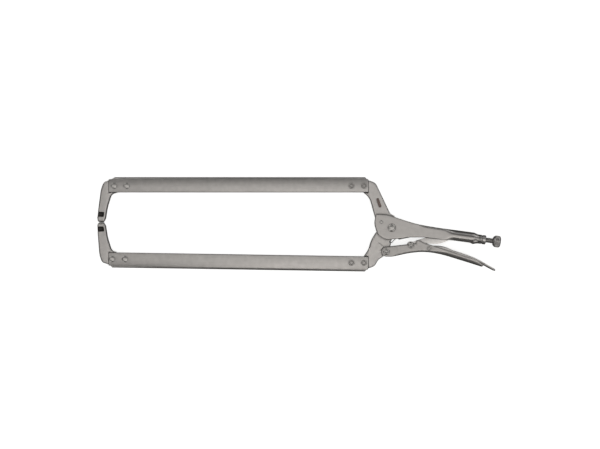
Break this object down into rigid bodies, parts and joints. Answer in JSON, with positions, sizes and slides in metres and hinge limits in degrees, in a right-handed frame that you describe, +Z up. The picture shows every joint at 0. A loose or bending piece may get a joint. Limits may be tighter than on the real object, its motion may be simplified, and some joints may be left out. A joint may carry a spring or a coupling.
{
  "type": "locking c clamp",
  "caption": "Long-reach locking C clamp: two riveted channel arms with forged tips, toggle-locking pressed handles, release lever and knurled adjusting screw.",
  "frame": {"origin": "middle of the clamp's footprint, on the surface it lies on, side down", "axes": "+X along the clamp from the pads to the adjusting knob, +Y across the opening from the moving arm to the fixed arm, +Z up through the clamp's thickness"},
  "size_m": [0.6058, 0.1414, 0.02],
  "materials": {
    "forged_steel": "blasted forging under dull nickel plate",
    "arm_steel": "nickel plated sheet, brushed lengthwise",
    "handle_steel": "satin nickel plated pressing",
    "turned_steel": "bright turned and knurled steel",
    "rivet_steel": "nickel plated rivet steel",
    "link_steel": "nickel plated stamping",
    "spring_wire": "dark spring wire"
  },
  "bodies": {
    "upper_handle": {"upper_handle": "handle_steel", "threaded_bush": "turned_steel", "fixed_jaw": "forged_steel", "fixed_jaw_rivet": "rivet_steel", "upper_arm": "arm_steel", "upper_tip": "forged_steel", "return_spring": "spring_wire", "spring_pin": "spring_wire", "upper_rear_rivet_1": "rivet_steel", "upper_rear_rivet_2": "rivet_steel", "upper_front_rivet_1": "rivet_steel", "upper_front_rivet_2": "rivet_steel"},
    "jaw_pivot": {"jaw_pivot_rivet": "rivet_steel"},
    "moving_jaw": {"moving_jaw": "forged_steel", "lower_arm": "arm_steel", "lower_tip": "forged_steel", "lower_rear_rivet_1": "rivet_steel", "lower_rear_rivet_2": "rivet_steel", "lower_front_rivet_1": "rivet_steel", "lower_front_rivet_2": "rivet_steel"},
    "handle_pivot": {"handle_pivot_rivet": "rivet_steel"},
    "lower_handle": {"lower_handle": "handle_steel", "link_pivot_rivet": "rivet_steel", "lever_pin": "rivet_steel"},
    "toggle_link": {"toggle_link": "link_steel"},
    "release_lever": {"release_lever": "link_steel"},
    "adjusting_screw": {"adjusting_screw": "turned_steel"},
    "adjusting_knob": {"adjusting_knob": "turned_steel"}
  },
  "joints": [
    {"name": "gap_adjust", "type": "hinge", "parent": "upper_handle", "child": "jaw_pivot", "pos_m": [0.13836, -0.00504, 0.01002], "axis": [0, 0, 1], "range_deg": [0, 34]},
    {"name": "jaw_release", "type": "hinge", "parent": "jaw_pivot", "child": "moving_jaw", "pos_m": [0.13836, -0.00504, 0.01002], "axis": [0, 0, 1], "range_deg": [0, 12]},
    {"name": "handle_adjust", "type": "hinge", "parent": "moving_jaw", "child": "handle_pivot", "pos_m": [0.13046, -0.04094, 0.01002], "axis": [0, 0, 1], "range_deg": [-39.6, 0]},
    {"name": "handle_release", "type": "hinge", "parent": "handle_pivot", "child": "lower_handle", "pos_m": [0.13046, -0.04094, 0.01002], "axis": [0, 0, 1], "range_deg": [-47.78, 0]},
    {"name": "link_fold", "type": "hinge", "parent": "lower_handle", "child": "toggle_link", "pos_m": [0.16716, -0.03124, 0.01002], "axis": [0, 0, 1], "range_deg": [0, 60.5]},
    {"name": "lever_lift", "type": "hinge", "parent": "lower_handle", "child": "release_lever", "pos_m": [0.19466, -0.03604, 0.01002], "axis": [0, 0, 1], "range_deg": [0, 5]},
    {"name": "screw_travel", "type": "slide", "parent": "upper_handle", "child": "adjusting_screw", "axis": [0.991, -0.134, 0], "range_m": [0, 0.0262]},
    {"name": "knob_turn", "type": "hinge", "parent": "adjusting_screw", "child": "adjusting_knob", "pos_m": [0.22436, -0.01599, 0.01002], "axis": [0.991, -0.134, 0], "continuous": true}
  ],
  "couplings": [
    {"joint": "handle_adjust", "follows": "gap_adjust", "ratio": -1.15},
    {"joint": "screw_travel", "follows": "gap_adjust", "m_per_rad": 0.043814},
    {"joint": "handle_release", "follows": "jaw_release", "ratio": -3.94},
    {"joint": "link_fold", "follows": "jaw_release", "ratio": 5}
  ]
}
